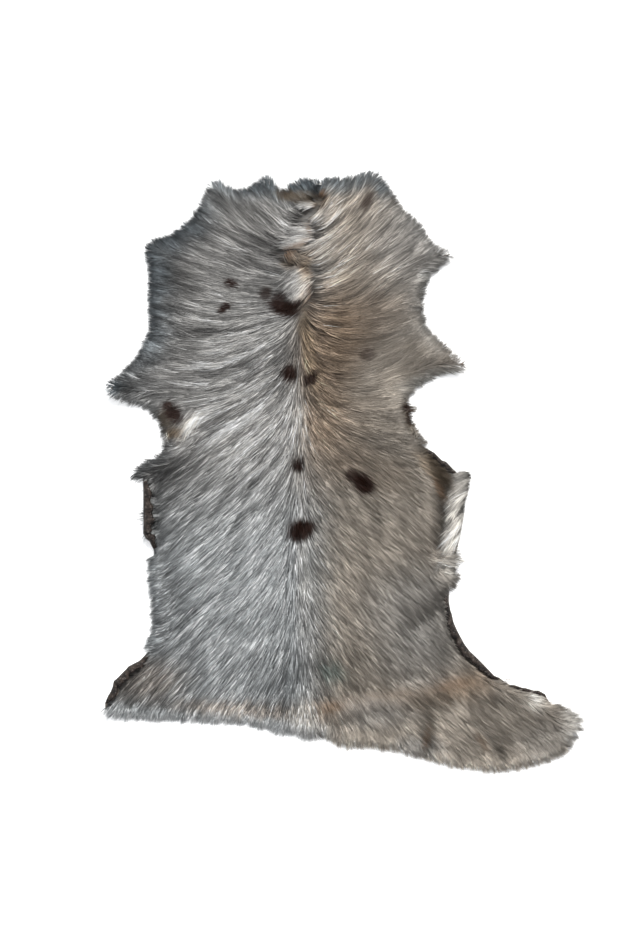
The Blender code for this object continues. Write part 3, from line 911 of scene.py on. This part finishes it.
def lay_hairs(name, paths, kept, width, depth, rise, shade,
              breaks=HAIR_BREAKS, widths=HAIR_WIDTHS, own_colour=None):
    """Joins one copy of the template for each hair, bent along its path, into one piece."""
    path_x, path_y = paths
    rows = []
    for share in breaks:
        px, py = at_shares(path_x, kept * share), at_shares(path_y, kept * share)
        top = coat_top.read(px, py)
        z = top - depth * (1 - share) ** 3 + rise * share ** 0.5
        floor = hide_under.read(px, py) + HIDE_THICK + 0.2 * MM
        rows.append(np.stack([px, py, np.maximum(z, floor)], axis=1))
    rows = np.array(rows)
    run = np.gradient(rows, axis=0)
    run /= np.linalg.norm(run, axis=2, keepdims=True) + 1e-12
    side = np.cross(run, (0, 0, 1))
    side /= np.linalg.norm(side, axis=2, keepdims=True) + 1e-12
    up = np.cross(side, run)

    bm = hair_template(len(breaks))
    points = np.array([v.co for v in bm.verts])
    row_of = np.round(points[:, 2]).astype(int)
    half = (np.array(widths)[row_of][:, None] * width[None, :] / 2)[:, :, None]
    placed = rows[row_of] + half * (side[row_of] * points[:, 0, None, None]
                                    + up[row_of] * points[:, 1, None, None])
    corners = np.array([v.index for f in bm.faces for v in f.verts])
    sizes = np.array([len(f.verts) for f in bm.faces])
    layout = flat_layout(bm, len(breaks))
    bm.free()

    count = len(width)
    mesh = bpy.data.meshes.new(name)
    mesh.vertices.add(count * len(points))
    mesh.vertices.foreach_set("co", placed.transpose(1, 0, 2).ravel())
    mesh.loops.add(count * len(corners))
    mesh.loops.foreach_set("vertex_index", (np.arange(count)[:, None] * len(points) + corners).ravel())
    mesh.polygons.add(count * len(sizes))
    starts = np.concatenate([[0], np.cumsum(sizes)[:-1]])
    mesh.polygons.foreach_set("loop_start", (np.arange(count)[:, None] * len(corners) + starts).ravel())
    mesh.update(calc_edges=True)

    across = math.ceil(math.sqrt(count))
    cell = np.stack([np.arange(count) % across, np.arange(count) // across], axis=1)
    places = (cell[:, None, :] + 0.1 + 0.8 * layout[None, :, :]) / across
    mesh.uv_layers.new(name="OFBake").data.foreach_set("uv", places.ravel())
    middle = rows[:, :, :2].mean(axis=0)
    looked_up = 0.7 * rows[:, :, :2] + 0.3 * middle
    if own_colour is None:
        colours = coat_colour(looked_up[:, :, 0], looked_up[:, :, 1])
    else:
        colours = np.broadcast_to(own_colour, rows.shape)
    colours = np.minimum(colours * shade[None, :, None], BRIGHTEST)
    colours *= np.interp(breaks, (0.0, 0.5, 1.0), ROOT_TO_TIP)[:, None, None]
    colour_points(mesh, "coat", colours[row_of].transpose(1, 0, 2).reshape(-1, 3))
    stray = np.random.default_rng(count).normal(0, STRAY, (count, 3)) * (1, 1, 0)
    stray = np.repeat(stray, len(points), axis=0)
    mesh.attributes.new("stray", "FLOAT_VECTOR", "POINT").data.foreach_set("vector", stray.ravel())
    mesh.shade_smooth()
    mesh.materials.append(guard_hair.material)
    piece = add_object(name, mesh)
    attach(piece, "root")


def guard_hair_finish():
    """The hair's colour, painted sheen and shade included, with the dark spots, whose edges each hair
    carries a little way off.
    """
    finish = Finish("guard_hair", 0.36)
    finish.shader.inputs["Specular IOR Level"].default_value = 0.28
    stray = finish.attribute("stray", "Vector")
    place = finish.node("ShaderNodeVectorMath", {"operation": "ADD"}, {0: finish.place(), 1: stray})
    colour = finish.attribute("coat", "Color")
    families = ((RUST_PATCHES, RUST, 0.6), (OLIVE_AND_SHADE_PATCHES, OLIVE_AND_SHADE, 0.5), (SPOTS, SPOT_BROWN, 0.35))
    for marks, mark_colour, softness in families:
        for *ellipse, strength in marks:
            colour = finish.mix(finish.blob(place, *ellipse, softness) * strength, colour, mark_colour)
    finish.paint(Base_Color=colour)
    return finish


guard_hair = guard_hair_finish()


def off_line(x, y, start, end):
    """Distance of each place from a straight line between two points in millimetres."""
    ax, ay = start[0] * MM, start[1] * MM
    along_x, along_y = end[0] * MM - ax, end[1] * MM - ay
    share = np.clip(((x - ax) * along_x + (y - ay) * along_y) / (along_x ** 2 + along_y ** 2), 0, 1)
    return np.hypot(x - ax - share * along_x, y - ay - share * along_y)


def roots_in(random, gap, low_y, high_y, side):
    """Unevenly spaced places on the haired skin between two heights, on one side of the backbone."""
    low, high = cad_box
    columns = int((high.x - low.x) / gap)
    deep = int((high_y - low_y) * MM / gap)
    x, y = np.meshgrid(low.x + np.arange(columns) * gap, low_y * MM + np.arange(deep) * gap)
    x = (x + random.uniform(-0.75, 0.75, x.shape) * gap).ravel()
    y = (y + random.uniform(-0.75, 0.75, y.shape) * gap).ravel()
    on_side = side * (off_backbone(x, y) + random.normal(0, PARTING_BLUR, x.shape)) > 0
    kept = on_side & (inside_by.read(x, y) > 1.5 * MM) & (off_bare_edges(x, y) > 0)
    kept &= off_line(x, y, LIP_TOP, LIP_END) > LIP_WIDTH
    return x[kept], y[kept]


def grow_coat():
    for number, (name, low_y, high_y, side) in enumerate(COAT_PARTS):
        random = np.random.default_rng(100 + number)
        x, y = roots_in(random, HAIR_GAP, low_y, high_y, side)
        count = len(x)
        lock = 0.7 * streaks(x, y, side, 14 * MM, 8, 5) + streaks(x, y, side, 5 * MM, 20, 6)
        fine = streaks(x, y, side, 2.8 * MM, 40, 9)
        away = off_backbone(x, y)
        in_neck = eased(y, *NECK_FROM)
        contrast = np.interp(away, (-20 * MM, 60 * MM), CONTRAST)
        contrast += 0.55 * in_neck * eased(away, -10 * MM, 20 * MM)
        contrast -= 0.35 * in_neck * eased(away, -30 * MM, -60 * MM)
        uneven = random.normal(0, OF_HAIR, count) + OF_LOCK * lock + OF_STRAND * fine
        shade = np.exp(contrast * uneven - DARKENED)
        turn = random.normal(0, 0.045, count)
        turn += 0.07 * ripple(x, y, 45 * MM, 7) + 0.05 * ripple(x, y, 15 * MM, 8)
        long = random.random(count) < TOP_HAIRS
        length = HAIR_LENGTH * random.uniform(0.65, 1.25, count) * (1 + 0.35 * long)
        paths = follow_coat(x, y, side, length, turn, random.normal(0, 0.15, count))
        lay_hairs(name, paths, cut_at_rim(*paths, random),
                  width=HAIR_WIDTH * random.uniform(0.7, 1.35, count),
                  depth=UNDER_DROP * random.uniform(0.75, 1.1, count),
                  rise=MM * (random.uniform(-0.8, 0.8, count) + 1.2 * long + 0.3 * lock + 0.3 * fine),
                  shade=shade)


grow_coat()


# The tufts: where two directions of growth meet in the neck, small pale locks stand up and curl
# over the parting. A few loose hairs cross the curled left edge, and dark ones stand out at the elbows.
# Each bunch is of the same hair, bent more, and listed one by one.
TUFT_BREAKS = (0.0, 0.2, 0.45, 0.72, 1.0)
TUFT_WIDTHS = (0.0, 0.9, 1.0, 0.7, 0.0)
STRAND = 6 * MM                     # width of the paler and darker strands across a tuft
NECK_TUFTS = (
    # x,   y,    heading, length, curl, spread, hairs, brightness
    (-42,  399,  176,     26,     25,   3,      110,   1.9),
    (-49,  358,  168,     34,     30,   5,      120,   1.25),
    (-50,  349,  190,     42,     0,    4,      140,   1.6),
    (-58,  343,  203,     34,     -30,  4,      110,   1.6),
    (-50,  296,  196,     50,     30,   5,      150,   1.2),
    (-51,  286,  214,     44,     20,   5,      140,   1.3),
    (-60,  304,  208,     34,     20,   6,      110,   1.2),
    (-57,  272,  222,     36,     15,   6,      110,   1.2),
    (-30,  412,  62,      36,     -15,  4,      90,    1.3),
    (-20,  400,  52,      38,     -10,  5,      90,    1.2),
    (-28,  388,  48,      38,     -10,  5,      90,    1.2),
    (-44,  372,  35,      38,     15,   5,      90,    1.0),
    (-78,  328,  290,     24,     40,   5,      70,    0.8),
    (-66,  320,  320,     24,     40,   5,      70,    0.8),
)
FLANK_WISPS = (
    # x,   y,    heading, length, curl, spread, hairs, brightness
    (-276, -18,  195,     22,     80,   4,      26,    1.3),
    (-272, -42,  215,     28,     -90,  4,      30,    1.1),
    (-272, -70,  150,     26,     80,   4,      26,    1.0),
    (-278, -88,  200,     24,     50,   5,      28,    1.1),
    (-280, -60,  205,     24,     -20,  10,     40,    0.7),
    (-289, 3,    168,     18,     20,   6,      40,    0.6),
    (-265, 62,   255,     26,     70,   3,      10,    2.4),
    (-300, -4,   190,     18,     30,   5,      40,    0.35),
)
EDGE_TUFTS = (
    # x,   y,    heading, length, curl, spread, hairs, brightness
    (142,  -124, 334,     30,     30,   10,     120,   1.0),
    (92,   96,   -4,      20,     12,   2,      26,    0.9),
    (94,   90,   14,      16,     -25,  2,      18,    0.9),
    (101,  72,   300,     16,     -30,  2,      24,    2.2),
    (112,  64,   240,     12,     20,   2,      16,    1.8),
    (-220, 92,   228,     52,     4,    7,      190,   1.15),
    (-262, 104,  300,     16,     20,   3,      20,    0.8),
)


def bent_paths(x, y, angle, step, bend):
    """Paths of hairs that set out at their own angles, and turn by their own bend at each step."""
    path_x, path_y = [x], [y]
    for _ in range(HAIR_STEPS):
        path_x.append(path_x[-1] + np.cos(angle) * step)
        path_y.append(path_y[-1] + np.sin(angle) * step)
        angle = angle + bend
    return np.array(path_x), np.array(path_y)


def bunch_paths(random, x, y, heading, length, curl, spread, hairs):
    """Paths of one bunch: they start close together and turn the same way."""
    x = (x + random.normal(0, spread, hairs)) * MM
    y = (y + random.normal(0, spread * 0.6, hairs)) * MM
    angle = np.radians(heading + random.normal(0, 7, hairs))
    bend = np.radians(curl * random.uniform(0.6, 1.4, hairs)) / HAIR_STEPS
    step = length * MM * random.uniform(0.6, 1.2, hairs) / HAIR_STEPS
    return bent_paths(x, y, angle, step, bend)


def grow_tufts(name, bunches, seed):
    random = np.random.default_rng(seed)
    laid, shades = [], []
    for x, y, heading, length, curl, spread, hairs, brightness in bunches:
        paths = bunch_paths(random, x, y, heading, length, curl, spread, hairs)
        ahead = math.radians(heading)
        across = paths[1][0] * math.cos(ahead) - paths[0][0] * math.sin(ahead)
        strand = ripple(across, 0 * across, STRAND, seed)
        laid.append(paths)
        shades.append(brightness * np.exp(random.normal(0, 0.3, hairs) + 0.6 * strand - 0.1))
    paths = [np.concatenate([bunch[axis] for bunch in laid], axis=1) for axis in (0, 1)]
    count = paths[0].shape[1]
    lay_hairs(name, paths, np.ones(count),
              width=HAIR_WIDTH * random.uniform(0.8, 1.4, count),
              depth=UNDER_DROP * random.uniform(0.2, 0.5, count),
              rise=MM * random.uniform(0.4, 2.4, count),
              shade=np.concatenate(shades), breaks=TUFT_BREAKS, widths=TUFT_WIDTHS)


grow_tufts("neck_tufts", NECK_TUFTS, 301)
grow_tufts("flank_wisps", FLANK_WISPS, 303)
grow_tufts("edge_tufts", EDGE_TUFTS, 304)


# The turned belly edge: on the right flank the skin's edge has folded over towards the back, and its
# long pale belly hair lies the other way, in slanting locks that hang down over the trough beside it.
LIP_HAIRS = 2900
LIP_LOCK = 10 * MM                  # spacing of the locks along the edge
LIP_LONG = 130 * MM                 # length of the edge
LIP_HEADINGS = (-0.05, 0.03, 0.15, 0.35, 1.0), (160, 182, 205, 224, 222)    # by share of the way down


def grow_lip():
    random = np.random.default_rng(302)
    share = random.uniform(-0.01, 1.03, LIP_HAIRS) + random.normal(0, 0.012, LIP_HAIRS)
    across = random.uniform(-1.4, 0.5, LIP_HAIRS)
    x = LIP_TOP[0] + (LIP_END[0] - LIP_TOP[0]) * share + 6 * across + 4 * np.sin(np.pi * share)
    x += np.interp(share, (0, 0.1, 0.3), (7, 6, 0))
    y = LIP_TOP[1] + (LIP_END[1] - LIP_TOP[1]) * share
    lock = 0.9 * ripple(share * LIP_LONG + across * 6 * MM, across * MM, LIP_LOCK, 21)
    angle = np.radians(np.interp(share, *LIP_HEADINGS) + random.normal(0, 6, LIP_HAIRS) + 5 * lock)
    length = random.uniform(28, 46, LIP_HAIRS) * np.interp(share, (0, 0.15, 1), (0.75, 1, 0.85))
    bend = np.interp(share, (0, 0.12), (0.09, 0.02))
    paths = bent_paths(x * MM, y * MM, angle, MM * length / HAIR_STEPS, bend)
    lay_hairs("flank_lip_hair", paths, np.ones(LIP_HAIRS),
              width=HAIR_WIDTH * random.uniform(0.8, 1.5, LIP_HAIRS),
              depth=UNDER_DROP * random.uniform(0.3, 0.7, LIP_HAIRS),
              rise=MM * (random.uniform(-0.5, 1.2, LIP_HAIRS) + 1.6 * lock),
              shade=0.40 * np.exp(random.normal(0, 0.3, LIP_HAIRS) + 1.1 * lock),
              breaks=TUFT_BREAKS, widths=TUFT_WIDTHS, own_colour=PALE)


grow_lip()
